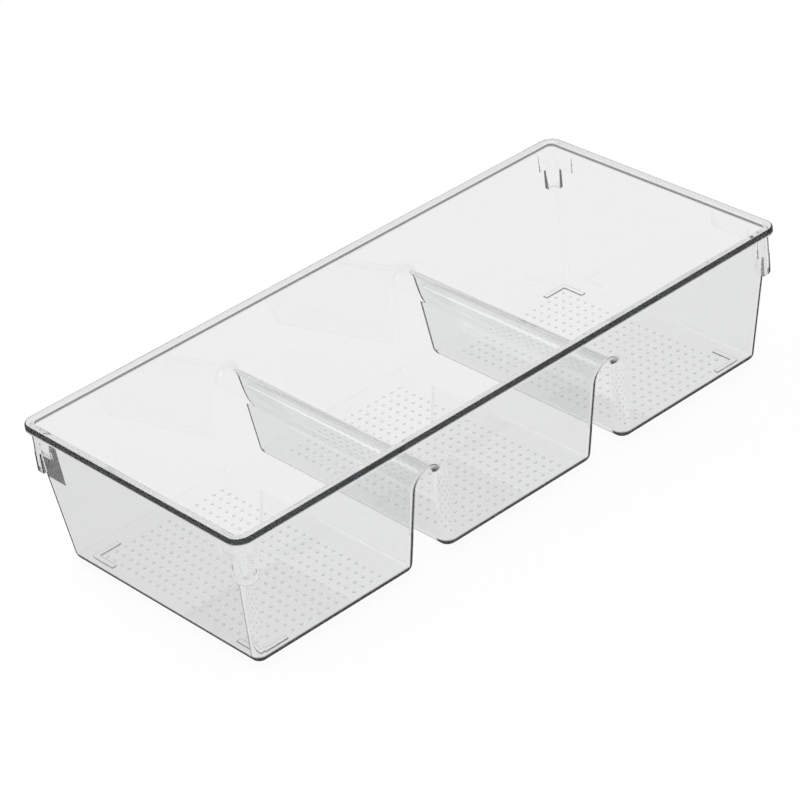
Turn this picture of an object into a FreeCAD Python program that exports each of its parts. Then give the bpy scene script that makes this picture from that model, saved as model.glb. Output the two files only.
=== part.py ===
import FreeCAD
import Part
import Sketcher
import math
import os

# Drawer organizer: one clear moulded tray with three bins side by side.
# X runs along the tray, Y across it and Z up, in millimetres; the origin is under the middle of the tray.
# The moulding is drawn as an outside and a cavity, cut apart, and then divided into its named sections.

doc = FreeCAD.newDocument("drawer_organizer")

# Sizes

SIZES = [
    ("half_long", "160.3", "half the length over the walls, right under the rim"),
    ("half_wide", "71.5", "half the width over the walls, right under the rim"),
    ("rim_top", "72.7", "height over everything"),
    ("rim_over", "2.4", "how far the rim stands out over the walls"),
    ("rim_deep", "3.7", "height of the rim's outer face"),
    ("rim_ease", "1.2", "rounding of the rim's top edges"),
    ("wall_thick", "1.9", "wall, everywhere"),
    ("floor_thick", "2", "floor of the bins"),
    ("foot_high", "1", "height of the feet, so of the floor's underside"),
    ("lean_long", "6.2", "how far each end wall leans in from the rim down to the floor's underside"),
    ("lean_wide", "7.9", "how far each long wall leans in from the rim down to the floor's underside"),
    ("wall_corner", "4.7", "radius of the tray's upright corners, outside"),
    ("base_round", "4.3", "rounding under the bins, outside"),
    ("floor_round", "2.1", "rounding between floor and walls, inside the bins"),
    ("middle_extra", "2.64", "middle bin, from gap to gap, less a third of the length over the walls"),
    ("crown_radius", "5.8", "inner radius of the arch that closes each gap between bins"),
    ("crown_drop", "30.2", "how far the arch's centre lies under the top of the rim"),
    ("gap_draft", "4.6", "angle of the gap's sides, from upright"),
    ("flare", "5.4", "rounding where a gap opens through the long walls"),
    ("divider_margin", "1.3", "how far the section cut out round an arch reaches past the arch, each way"),
    ("lug_over", "0.05", "how far the upper part of a lug stands out over the walls, right under the rim"),
    ("lug_reach_long", "9.9", "how far a lug's upper part reaches along a long wall, from the corner"),
    ("lug_reach_wide", "14.7", "how far a lug's upper part reaches along an end wall, from the corner"),
    ("lug_reach_low", "6.7", "how far a lug's lower part reaches along both walls, from the corner"),
    ("lug_drop", "24.5", "from the top of the rim down to the lugs' underside; the pitch of nested trays"),
    ("ledge_drop", "22", "from the top of the rim down to the ledge inside the lugs"),
    ("step_drop", "14", "from the top of the rim down to the lower, thicker part of a lug"),
    ("lug_proud", "0.25", "how far the lower part stands out over the upper one"),
    ("lug_ease", "0.6", "rounding of the lugs' lower edges"),
    ("foot_inset", "6.6", "from the walls' foot to the outer face of a foot"),
    ("foot_arm", "14.5", "length of each arm of a foot"),
    ("foot_bar", "2.5", "width of each arm of a foot"),
    ("foot_corner", "1.2", "rounding of a foot's outer corner"),
    ("beyond", "10", "how far cutting shapes reach past what they cut"),
]

sheet = doc.addObject("Spreadsheet::Sheet", "sizes")
for row, entry in enumerate(SIZES, start=1):
    sheet.set("A%d" % row, entry[0])
    sheet.set("B%d" % row, entry[1])
    sheet.set("C%d" % row, entry[2])
    sheet.setAlias("B%d" % row, entry[0])
doc.recompute()


def value(alias):
    """One size from the sheet, for picking edges and for a sketch's first guess."""
    return float(sheet.get(alias))


def plane(body, role):
    """One of the body's own origin planes."""
    for feature in body.Origin.OriginFeatures:
        if feature.Role == role:
            return feature
    raise RuntimeError("no plane " + role)


def new_body(name):
    return doc.addObject("PartDesign::Body", name)


def new_sketch(body, name, role, height=None):
    """An empty sketch on an origin plane, raised by a height from the sheet."""
    sketch = body.newObject("Sketcher::SketchObject", name)
    sketch.AttachmentSupport = [(plane(body, role), "")]
    sketch.MapMode = "FlatFace"
    if height:
        sketch.setExpression("AttachmentOffset.Base.z", height)
    return sketch


def fix(sketch, name, kind, places, size, guess):
    """A named dimension that follows the sheet."""
    index = sketch.addConstraint(Sketcher.Constraint(kind, *places, guess))
    sketch.renameConstraint(index, name)
    sketch.setExpression("Constraints." + name, size)


def pin(sketch, name, axis, sign, place, size, guess):
    """Keeps a point at a distance from the sketch's origin along one axis, on the side of the sign."""
    places = (-1, 1) + place if sign > 0 else place + (-1, 1)
    fix(sketch, name, "Distance" + axis, places, size, guess)


def rounded_rectangle(sketch, name, half_x, half_y, radius):
    """A rectangle round the sketch's origin with equal corner arcs; each size is (expression, value)."""
    hx, hy, r = half_x[1], half_y[1], radius[1]
    cx = hx - r
    cy = hy - r
    first = sketch.GeometryCount
    sketch.addGeometry(Part.LineSegment(FreeCAD.Vector(-cx, -hy, 0), FreeCAD.Vector(cx, -hy, 0)))
    sketch.addGeometry(Part.LineSegment(FreeCAD.Vector(hx, -cy, 0), FreeCAD.Vector(hx, cy, 0)))
    sketch.addGeometry(Part.LineSegment(FreeCAD.Vector(cx, hy, 0), FreeCAD.Vector(-cx, hy, 0)))
    sketch.addGeometry(Part.LineSegment(FreeCAD.Vector(-hx, cy, 0), FreeCAD.Vector(-hx, -cy, 0)))
    for x, y, start in ((cx, -cy, -90), (cx, cy, 0), (-cx, cy, 90), (-cx, -cy, 180)):
        circle = Part.Circle(FreeCAD.Vector(x, y, 0), FreeCAD.Vector(0, 0, 1), r)
        sketch.addGeometry(Part.ArcOfCircle(circle, math.radians(start), math.radians(start + 90)))
    for side in range(4):
        arc = first + 4 + side
        sketch.addConstraint(Sketcher.Constraint("Tangent", first + side, 2, arc, 1))
        sketch.addConstraint(Sketcher.Constraint("Tangent", arc, 2, first + (side + 1) % 4, 1))
    sketch.addConstraint(Sketcher.Constraint("Horizontal", first))
    sketch.addConstraint(Sketcher.Constraint("Vertical", first + 1))
    sketch.addConstraint(Sketcher.Constraint("Horizontal", first + 2))
    sketch.addConstraint(Sketcher.Constraint("Vertical", first + 3))
    for arc in (5, 6, 7):
        sketch.addConstraint(Sketcher.Constraint("Equal", first + 4, first + arc))
    sketch.addConstraint(Sketcher.Constraint("Symmetric", first + 4, 3, first + 6, 3, -1, 1))
    long_way = "2 * (%s - (%s))" % (half_x[0], radius[0])
    wide_way = "2 * (%s - (%s))" % (half_y[0], radius[0])
    fix(sketch, name + "_radius", "Radius", (first + 4,), radius[0], r)
    fix(sketch, name + "_long", "DistanceX", (first + 6, 3, first + 4, 3), long_way, 2 * cx)
    fix(sketch, name + "_wide", "DistanceY", (first + 4, 3, first + 6, 3), wide_way, 2 * cy)


def corner_block(sketch, name, sx, sy, start_x, start_y, half_x, half_y, radius):
    """A square in one corner of the tray, its outer corner rounded; each size is (expression, value)."""
    r = radius[1]
    ax, ay = sx * start_x[1], sy * start_y[1]
    bx, by = sx * half_x[1], sy * half_y[1]
    inner_x, inner_y = bx - sx * r, by - sy * r
    first = sketch.GeometryCount
    sketch.addGeometry(Part.LineSegment(FreeCAD.Vector(ax, ay, 0), FreeCAD.Vector(bx, ay, 0)))
    sketch.addGeometry(Part.LineSegment(FreeCAD.Vector(bx, ay, 0), FreeCAD.Vector(bx, inner_y, 0)))
    sketch.addGeometry(Part.LineSegment(FreeCAD.Vector(inner_x, by, 0), FreeCAD.Vector(ax, by, 0)))
    sketch.addGeometry(Part.LineSegment(FreeCAD.Vector(ax, by, 0), FreeCAD.Vector(ax, ay, 0)))
    start = {(1, 1): 0, (-1, 1): 90, (-1, -1): 180, (1, -1): 270}[(sx, sy)]
    circle = Part.Circle(FreeCAD.Vector(inner_x, inner_y, 0), FreeCAD.Vector(0, 0, 1), r)
    sketch.addGeometry(Part.ArcOfCircle(circle, math.radians(start), math.radians(start + 90)))
    on_side, on_top = (1, 2) if sx * sy > 0 else (2, 1)
    sketch.addConstraint(Sketcher.Constraint("Coincident", first, 2, first + 1, 1))
    sketch.addConstraint(Sketcher.Constraint("Tangent", first + 1, 2, first + 4, on_side))
    sketch.addConstraint(Sketcher.Constraint("Tangent", first + 4, on_top, first + 2, 1))
    sketch.addConstraint(Sketcher.Constraint("Coincident", first + 2, 2, first + 3, 1))
    sketch.addConstraint(Sketcher.Constraint("Coincident", first + 3, 2, first, 1))
    sketch.addConstraint(Sketcher.Constraint("Horizontal", first))
    sketch.addConstraint(Sketcher.Constraint("Vertical", first + 1))
    sketch.addConstraint(Sketcher.Constraint("Horizontal", first + 2))
    sketch.addConstraint(Sketcher.Constraint("Vertical", first + 3))
    pin(sketch, name + "_start_x", "X", sx, (first, 1), start_x[0], start_x[1])
    pin(sketch, name + "_start_y", "Y", sy, (first, 1), start_y[0], start_y[1])
    pin(sketch, name + "_half_x", "X", sx, (first, 2), half_x[0], half_x[1])
    pin(sketch, name + "_half_y", "Y", sy, (first + 3, 1), half_y[0], half_y[1])
    fix(sketch, name + "_radius", "Radius", (first + 4,), radius[0], r)


def gap_outline(sketch, name, side, radius):
    """Round-topped outline of one gap between bins, seen along Y; radius is (expression, value)."""
    r = radius[1]
    low = value("beyond")
    middle = side * half_pitch
    centre = crown_centre
    draft = math.radians(value("gap_draft"))
    drop = (centre + r * math.sin(draft) + low) / math.cos(draft)
    shoulder = centre + r * math.sin(draft)
    right_top = FreeCAD.Vector(middle + r * math.cos(draft), shoulder, 0)
    left_top = FreeCAD.Vector(middle - r * math.cos(draft), shoulder, 0)
    right_low = right_top + FreeCAD.Vector(drop * math.sin(draft), -drop * math.cos(draft), 0)
    left_low = left_top + FreeCAD.Vector(-drop * math.sin(draft), -drop * math.cos(draft), 0)
    circle = Part.Circle(FreeCAD.Vector(middle, centre, 0), FreeCAD.Vector(0, 0, 1), r)
    first = sketch.GeometryCount
    sketch.addGeometry(Part.ArcOfCircle(circle, draft, math.pi - draft))
    sketch.addGeometry(Part.LineSegment(left_top, left_low))
    sketch.addGeometry(Part.LineSegment(left_low, right_low))
    sketch.addGeometry(Part.LineSegment(right_low, right_top))
    sketch.addConstraint(Sketcher.Constraint("Tangent", first, 2, first + 1, 1))
    sketch.addConstraint(Sketcher.Constraint("Coincident", first + 1, 2, first + 2, 1))
    sketch.addConstraint(Sketcher.Constraint("Coincident", first + 2, 2, first + 3, 1))
    sketch.addConstraint(Sketcher.Constraint("Tangent", first + 3, 2, first, 1))
    sketch.addConstraint(Sketcher.Constraint("Horizontal", first + 2))
    sketch.addConstraint(Sketcher.Constraint("Equal", first + 1, first + 3))
    pin(sketch, name + "_middle", "X", side, (first, 3), HALF_PITCH, abs(middle))
    pin(sketch, name + "_centre", "Y", 1, (first, 3), CROWN_CENTRE, centre)
    pin(sketch, name + "_low", "Y", -1, (first + 2, 1), "sizes.beyond", low)
    fix(sketch, name + "_radius", "Radius", (first,), radius[0], r)
    lean = math.pi / 2 + draft
    fix(sketch, name + "_draft", "Angle", (first + 3,), "(90 + sizes.gap_draft) * 1 deg", lean)


def pad(body, name, sketch, length):
    """Raises a sketch by a length from the sheet."""
    feature = body.newObject("PartDesign::Pad", name)
    feature.Profile = sketch
    feature.setExpression("Length", length)
    body.Tip = feature
    return feature


def pocket_through(body, name, sketch):
    """Cuts a sketch through the whole body, both ways."""
    feature = body.newObject("PartDesign::Pocket", name)
    feature.Profile = sketch
    feature.SideType = "Symmetric"
    feature.Type = "ThroughAll"
    body.Tip = feature
    return feature


def leaning_block(body, name, low_x, low_y, top_x, top_y, low_z, top_z):
    """A block with four leaning sides: half sizes at its foot and at its top, then both heights."""
    block = body.newObject("PartDesign::AdditiveWedge", name)
    block.AttachmentSupport = [(plane(body, "XZ_Plane"), "")]
    block.MapMode = "FlatFace"
    for side, size in (("X%s", low_x), ("Z%s", low_y), ("X2%s", top_x), ("Z2%s", top_y)):
        block.setExpression(side % "max", size)
        block.setExpression(side % "min", "-(%s)" % size)
    block.setExpression("Ymin", low_z)
    block.setExpression("Ymax", top_z)
    body.Tip = block
    return block


def edges_where(feature, test):
    """Names of the edges that pass a test all along, so a pick survives a change of size."""
    picked = []
    for index, edge in enumerate(feature.Shape.Edges, start=1):
        span = edge.LastParameter - edge.FirstParameter
        points = [edge.valueAt(edge.FirstParameter + span * part) for part in (0.0, 0.25, 0.5, 0.75, 1.0)]
        if all(test(point) for point in points):
            picked.append("Edge%d" % index)
    return picked


def round_edges(body, name, test, radius):
    """Rounds the edges of the body so far that pass a test."""
    doc.recompute()
    feature = body.Tip
    picked = edges_where(feature, test)
    if not picked:
        raise RuntimeError("no edge to round for " + name)
    rounding = body.newObject("PartDesign::Fillet", name)
    rounding.Base = (feature, picked)
    rounding.setExpression("Radius", radius)
    body.Tip = rounding
    doc.recompute()
    print(name, "rounds", len(picked), "edges")
    return rounding


def near(a, b):
    return abs(a - b) < 0.001


def lies_beyond(p, half_x, half_y):
    return abs(p.x) > half_x - 0.01 and abs(p.y) > half_y - 0.01


# Places that several features share, each as an expression and as a number

RIM_UNDER = "(sizes.rim_top - sizes.rim_deep)"
BASE_LONG = "(sizes.half_long - sizes.lean_long)"
BASE_WIDE = "(sizes.half_wide - sizes.lean_wide)"
FLOOR_SHARE = "(sizes.floor_thick / (%s - sizes.foot_high))" % RIM_UNDER
CROWN_CENTRE = "(sizes.rim_top - sizes.crown_drop)"
HALF_PITCH = "(sizes.half_long / 3 + sizes.middle_extra / 2)"
LUG_LONG = "(sizes.half_long + sizes.lug_over)"
LUG_WIDE = "(sizes.half_wide + sizes.lug_over)"
LUG_START_LONG = "(sizes.half_long - sizes.lug_reach_long)"
LUG_START_WIDE = "(sizes.half_wide - sizes.lug_reach_wide)"
LUG_LOW_LONG = "(sizes.half_long - sizes.lug_reach_low)"
LUG_LOW_WIDE = "(sizes.half_wide - sizes.lug_reach_low)"
LUG_CORNER = "(sizes.wall_corner - 3 * sizes.lug_over)"
LUG_UNDER = "(sizes.rim_top - sizes.lug_drop)"
LUG_STEP = "(sizes.rim_top - sizes.step_drop)"
FOOT_LONG = "(%s - sizes.foot_inset)" % BASE_LONG
FOOT_WIDE = "(%s - sizes.foot_inset)" % BASE_WIDE

wall = value("wall_thick")
rim_under = value("rim_top") - value("rim_deep")
floor_top = value("foot_high") + value("floor_thick")
base_long = value("half_long") - value("lean_long")
base_wide = value("half_wide") - value("lean_wide")
floor_share = value("floor_thick") / (rim_under - value("foot_high"))
cavity_long = base_long - wall + value("lean_long") * floor_share
cavity_wide = base_wide - wall + value("lean_wide") * floor_share
crown_centre = value("rim_top") - value("crown_drop")
half_pitch = value("half_long") / 3 + value("middle_extra") / 2
lug_long = value("half_long") + value("lug_over")
lug_wide = value("half_wide") + value("lug_over")
lug_start_long = value("half_long") - value("lug_reach_long")
lug_start_wide = value("half_wide") - value("lug_reach_wide")
lug_low_long = value("half_long") - value("lug_reach_low")
lug_low_wide = value("half_wide") - value("lug_reach_low")
lug_corner = value("wall_corner") - 3 * value("lug_over")
lug_under = value("rim_top") - value("lug_drop")
gap_side = value("crown_radius") + value("rim_top") * math.tan(math.radians(value("gap_draft")))
CORNERS = (("left_front", -1, -1), ("right_front", 1, -1), ("left_back", -1, 1), ("right_back", 1, 1))


def in_gap_mouth(p, half_wide, reach):
    """True where a gap opens through one of the long walls."""
    beside = abs(abs(p.x) - half_pitch)
    return beside < reach and abs(p.y) > half_wide - 0.01 and p.z < rim_under - 1


# Outside of the moulding: the leaning block of the three bins with open gaps between them

outside = new_body("outside")
leaning_block(outside, "outside_block", BASE_LONG, BASE_WIDE, "sizes.half_long", "sizes.half_wide",
              "sizes.foot_high", RIM_UNDER)
round_edges(outside, "outside_corners",
            lambda p: lies_beyond(p, base_long, base_wide), "sizes.wall_corner")
gap_sketch = new_sketch(outside, "gap_outlines", "XZ_Plane")
gap_outline(gap_sketch, "left_gap", -1, ("sizes.crown_radius", value("crown_radius")))
gap_outline(gap_sketch, "right_gap", 1, ("sizes.crown_radius", value("crown_radius")))
pocket_through(outside, "gaps", gap_sketch)
round_edges(outside, "gap_mouths",
            lambda p: in_gap_mouth(p, base_wide, gap_side + 1), "sizes.flare")
round_edges(outside, "bins_underneath", lambda p: near(p.z, value("foot_high")), "sizes.base_round")

# Lugs: upright blocks at the four corners, with a narrower but thicker lower part

UPPER_STARTS = ((LUG_START_LONG, lug_start_long), (LUG_START_WIDE, lug_start_wide))
LOWER_STARTS = ((LUG_LOW_LONG, lug_low_long), (LUG_LOW_WIDE, lug_low_wide))
LUG_FACES = ((LUG_LONG, lug_long), (LUG_WIDE, lug_wide), (LUG_CORNER, lug_corner))
lug_sketch = new_sketch(outside, "lug_outlines", "XY_Plane", LUG_STEP)
proud_sketch = new_sketch(outside, "lower_lug_outlines", "XY_Plane", LUG_UNDER)
proud = [(size + " + sizes.lug_proud", number + value("lug_proud")) for size, number in LUG_FACES]
for name, sx, sy in CORNERS:
    corner_block(lug_sketch, name, sx, sy, UPPER_STARTS[0], UPPER_STARTS[1], *LUG_FACES)
    corner_block(proud_sketch, name, sx, sy, LOWER_STARTS[0], LOWER_STARTS[1], *proud)
pad(outside, "lugs", lug_sketch, "sizes.step_drop - sizes.rim_deep")
pad(outside, "lower_lugs", proud_sketch, "sizes.lug_drop - sizes.step_drop")


def on_lug_face(p):
    """True on the outer faces of the lower lugs."""
    radius = lug_corner + value("lug_proud")
    dx = abs(p.x) - (lug_long - lug_corner)
    dy = abs(p.y) - (lug_wide - lug_corner)
    if dx > 0.001 and dy > 0.001:
        return near(math.hypot(dx, dy), radius)
    return near(max(dx, dy), radius)


round_edges(outside, "lug_lower_edges",
            lambda p: near(p.z, lug_under) and on_lug_face(p), "sizes.lug_ease")

# Cavity: the same block one wall smaller, less the two saddles, plus the pockets inside the lugs

cavity = new_body("cavity")
low_long = BASE_LONG + " - sizes.wall_thick + sizes.lean_long * " + FLOOR_SHARE
low_wide = BASE_WIDE + " - sizes.wall_thick + sizes.lean_wide * " + FLOOR_SHARE
leaning_block(cavity, "cavity_block", low_long, low_wide, "sizes.half_long - sizes.wall_thick",
              "sizes.half_wide - sizes.wall_thick", "sizes.foot_high + sizes.floor_thick", RIM_UNDER)
round_edges(cavity, "cavity_corners", lambda p: lies_beyond(p, cavity_long, cavity_wide),
            "sizes.wall_corner - sizes.wall_thick")
saddle_sketch = new_sketch(cavity, "saddle_outlines", "XZ_Plane")
saddle_radius = ("sizes.crown_radius + sizes.wall_thick", value("crown_radius") + wall)
gap_outline(saddle_sketch, "left_saddle", -1, saddle_radius)
gap_outline(saddle_sketch, "right_saddle", 1, saddle_radius)
pocket_through(cavity, "saddles", saddle_sketch)
round_edges(cavity, "saddle_ends", lambda p: in_gap_mouth(p, cavity_wide, gap_side + wall + 1),
            "sizes.flare - sizes.wall_thick")
round_edges(cavity, "floor_edges", lambda p: near(p.z, floor_top), "sizes.floor_round")
inner = [(size + " - sizes.wall_thick", number - wall) for size, number in LUG_FACES]
for kind, lug_starts, drop in (("upper", UPPER_STARTS, "(sizes.step_drop - sizes.wall_thick)"),
                               ("lower", LOWER_STARTS, "sizes.ledge_drop")):
    pocket_sketch = new_sketch(cavity, kind + "_pocket_outlines", "XY_Plane", "sizes.rim_top - " + drop)
    starts = [(size + " + sizes.wall_thick", number + wall) for size, number in lug_starts]
    for name, sx, sy in CORNERS:
        corner_block(pocket_sketch, name, sx, sy, starts[0], starts[1], *inner)
    pad(cavity, kind + "_lug_pockets", pocket_sketch, drop + " - sizes.rim_deep")
doc.recompute()

# The whole moulding under the rim

shell = doc.addObject("Part::Cut", "shell")
shell.Base = outside
shell.Tool = cavity
shell.Refine = True
doc.recompute()


def region(name, low_corner, size):
    """A box used for dividing the moulding; six expressions."""
    box = doc.addObject("Part::Box", name)
    box.setExpression("Placement.Base.x", low_corner[0])
    box.setExpression("Placement.Base.y", low_corner[1])
    box.setExpression("Placement.Base.z", low_corner[2])
    box.setExpression("Length", size[0])
    box.setExpression("Width", size[1])
    box.setExpression("Height", size[2])
    return box


nodes = []

# Lugs and feet, one of each at every corner

lug_regions = {}
for name, sx, sy in CORNERS:
    low_x = LUG_START_LONG if sx > 0 else "-(%s + sizes.beyond)" % LUG_LONG
    low_y = LUG_START_WIDE if sy > 0 else "-(%s + sizes.beyond)" % LUG_WIDE
    reach_x = "sizes.lug_reach_long + sizes.lug_over + sizes.beyond"
    reach_y = "sizes.lug_reach_wide + sizes.lug_over + sizes.beyond"
    lug_regions[name] = region(name + "_lug_region", (low_x, low_y, LUG_UNDER),
                               (reach_x, reach_y, "sizes.lug_drop - sizes.rim_deep"))
    lug = doc.addObject("Part::Common", name + "_lug")
    lug.Base = shell
    lug.Tool = lug_regions[name]
    nodes.append(lug)

for name, sx, sy in CORNERS:
    foot = new_body(name + "_foot")
    sketch = new_sketch(foot, name + "_foot_outline", "XY_Plane")
    far_x = (FOOT_LONG, base_long - value("foot_inset"))
    far_y = (FOOT_WIDE, base_wide - value("foot_inset"))
    arm_x, arm_y = [(size + " - sizes.foot_arm", number - value("foot_arm"))
                    for size, number in (far_x, far_y)]
    bar_x, bar_y = [(size + " - sizes.foot_bar", number - value("foot_bar"))
                    for size, number in (far_x, far_y)]
    outline = [(far_x, far_y), (arm_x, far_y), (arm_x, bar_y)]
    outline += [(bar_x, bar_y), (bar_x, arm_y), (far_x, arm_y)]
    spots = [FreeCAD.Vector(sx * x[1], sy * y[1], 0) for x, y in outline]
    for i in range(6):
        sketch.addGeometry(Part.LineSegment(spots[i], spots[(i + 1) % 6]))
    for i in range(6):
        sketch.addConstraint(Sketcher.Constraint("Coincident", i, 2, (i + 1) % 6, 1))
        pin(sketch, "across%d" % i, "X", sx, (i, 1), outline[i][0][0], outline[i][0][1])
        pin(sketch, "along%d" % i, "Y", sy, (i, 1), outline[i][1][0], outline[i][1][1])
    pad(foot, name + "_foot_bar", sketch, "sizes.foot_high")
    round_edges(foot, name + "_foot_corner",
                lambda p: lies_beyond(p, far_x[1], far_y[1]), "sizes.foot_corner")
    nodes.append(foot)

# Dividers: each arch over a gap, with the strips of the long walls above it

divider_regions = {}
around = "(sizes.crown_radius + sizes.wall_thick + sizes.divider_margin)"
across = "(%s + sizes.beyond)" % LUG_WIDE
for name, side in (("left", "-"), ("right", "")):
    divider_regions[name] = region(
        name + "_divider_region", (side + HALF_PITCH + " - " + around, "-" + across, CROWN_CENTRE),
        ("2 * " + around, "2 * " + across, "sizes.crown_drop - sizes.rim_deep"))
    divider = doc.addObject("Part::Common", name + "_divider")
    divider.Base = shell
    divider.Tool = divider_regions[name]
    nodes.append(divider)

# Bins: what is left of the moulding on each side of the gaps

END = "(%s + sizes.beyond)" % LUG_LONG
BINS = (
    ("left_bin", "-" + END, END + " - " + HALF_PITCH,
     [lug_regions["left_front"], lug_regions["left_back"], divider_regions["left"]]),
    ("middle_bin", "-" + HALF_PITCH, "2 * " + HALF_PITCH,
     [divider_regions["left"], divider_regions["right"]]),
    ("right_bin", HALF_PITCH, END + " - " + HALF_PITCH,
     [lug_regions["right_front"], lug_regions["right_back"], divider_regions["right"]]),
)
for name, low_x, long_way, others in BINS:
    span = region(name + "_region", (low_x, "-" + across, "0"), (long_way, "2 * " + across, RIM_UNDER))
    part_of_shell = doc.addObject("Part::Common", name + "_span")
    part_of_shell.Base = shell
    part_of_shell.Tool = span
    rest = doc.addObject("Part::MultiFuse", name + "_others")
    rest.Shapes = others
    bin_section = doc.addObject("Part::Cut", name)
    bin_section.Base = part_of_shell
    bin_section.Tool = rest
    nodes.append(bin_section)

# Rim: the flat ring round the top

rim = new_body("rim")
rim_sketch = new_sketch(rim, "rim_outline", "XY_Plane", RIM_UNDER)
outer = [("sizes.%s + sizes.rim_over" % alias, value(alias) + value("rim_over"))
         for alias in ("half_long", "half_wide", "wall_corner")]
inner = [("sizes.%s - sizes.wall_thick" % alias, value(alias) - wall)
         for alias in ("half_long", "half_wide", "wall_corner")]
rounded_rectangle(rim_sketch, "outer", outer[0], outer[1], outer[2])
rounded_rectangle(rim_sketch, "inner", inner[0], inner[1], inner[2])
pad(rim, "rim_ring", rim_sketch, "sizes.rim_deep")
round_edges(rim, "rim_top_edges", lambda p: near(p.z, value("rim_top")), "sizes.rim_ease")
nodes.append(rim)

# Check every object and write the sections

doc.recompute()
for item in doc.Objects:
    for word in item.State:
        if "Invalid" in word or "Error" in word:
            raise RuntimeError("%s is %s" % (item.Name, word))
    if item.isDerivedFrom("Part::Feature") and item.TypeId != "Sketcher::SketchObject":
        if item.Shape.isNull() or not item.Shape.isValid():
            raise RuntimeError("bad shape: " + item.Name)

os.makedirs("parts", exist_ok=True)
for item in nodes:
    item.Label = item.Name
    if len(item.Shape.Solids) != 1:
        raise RuntimeError("%s has %d solids" % (item.Name, len(item.Shape.Solids)))
    box = item.Shape.BoundBox
    print("%-18s %9.1f mm3  x %7.2f %7.2f  y %7.2f %7.2f  z %6.2f %6.2f" % (
        item.Label, item.Shape.Volume, box.XMin, box.XMax, box.YMin, box.YMax, box.ZMin, box.ZMax))
    item.Shape.exportStep("parts/%s.step" % item.Label)
print("moulding under the rim %.1f mm3" % shell.Shape.Volume)
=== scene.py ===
import math

import bpy
from mathutils import Matrix, Vector, geometry, kdtree


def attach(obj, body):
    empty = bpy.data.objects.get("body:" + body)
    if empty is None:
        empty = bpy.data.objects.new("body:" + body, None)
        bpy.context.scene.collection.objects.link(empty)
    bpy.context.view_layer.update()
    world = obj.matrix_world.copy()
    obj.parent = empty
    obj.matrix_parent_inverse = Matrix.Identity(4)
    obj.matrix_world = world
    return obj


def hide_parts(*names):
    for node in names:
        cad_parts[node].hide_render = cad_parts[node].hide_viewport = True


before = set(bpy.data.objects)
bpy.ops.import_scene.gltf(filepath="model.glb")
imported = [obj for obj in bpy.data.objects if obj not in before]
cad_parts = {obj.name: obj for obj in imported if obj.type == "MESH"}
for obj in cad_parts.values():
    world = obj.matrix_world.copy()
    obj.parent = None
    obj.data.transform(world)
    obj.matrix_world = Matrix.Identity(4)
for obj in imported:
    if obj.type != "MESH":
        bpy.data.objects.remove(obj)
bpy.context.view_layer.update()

# Clear moulding: the whole tray is one piece of clear polystyrene from a single injection mould.
# Its outside and its cavity are two smooth skins, 1.9 mm apart, which meet at the rim, the corner
# lugs and the feet. Every skin is built for one quarter of the tray, in millimetres, and mirrored.

MM = 0.001
UP, DOWN = Vector((0, 0, 1)), Vector((0, 0, -1))
HALF_LONG, HALF_WIDE = 160.3, 71.5        # over the walls, right under the rim
LEAN_LONG, LEAN_WIDE = 6.2, 7.9           # how far the walls lean in down to the floor's underside
FLOOR_UNDER, RIM_UNDER, RIM_TOP = 1.0, 69.0, 72.7
WALL, FLOOR = 1.9, 2.0
CORNER, FLOOR_ROUND, CAVITY_ROUND, MOUTH_ROUND = 4.7, 4.3, 2.1, 5.4
GAP_MIDDLE, CROWN_CENTRE, CROWN_RADIUS = 54.753, 42.5, 5.8
GAP_DRAFT = math.radians(4.6)
CORNER_STEPS, MOUTH_STEPS, ARCH_STEPS, FLOOR_STEPS = 16, 12, 28, 8
NO_LENGTH, JOIN_WITHIN = 1e-6, 0.002

# Directions that the flat end wall and the flat long wall face
END_WALL = Vector((1, 0, -LEAN_LONG / (RIM_UNDER - FLOOR_UNDER))).normalized()
LONG_WALL = Vector((0, 1, -LEAN_WIDE / (RIM_UNDER - FLOOR_UNDER))).normalized()


def between(a, b, share):
    """A direction on the shorter arc from one unit direction to another."""
    angle = a.angle(b)
    if angle < NO_LENGTH:
        return a.copy()
    first = math.sin((1 - share) * angle) / math.sin(angle)
    second = math.sin(share * angle) / math.sin(angle)
    return a * first + b * second


def turn_over(a, b, steps):
    """Directions in even steps from one to another."""
    return [between(a, b, i / steps) for i in range(steps + 1)]


def wall_at(z, inset):
    """How far out the end wall and the long wall stand at a height."""
    share = (RIM_UNDER - z) / (RIM_UNDER - FLOOR_UNDER)
    return HALF_LONG - inset - LEAN_LONG * share, HALF_WIDE - inset - LEAN_WIDE * share


def wall_point(axis, along, z, inset=0.0):
    """A point on the long wall at x = along, where axis is 0, or on the end wall at y = along."""
    end, side = wall_at(z, inset)
    return Vector((along, side, z)) if axis == 0 else Vector((end, along, z))


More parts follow.
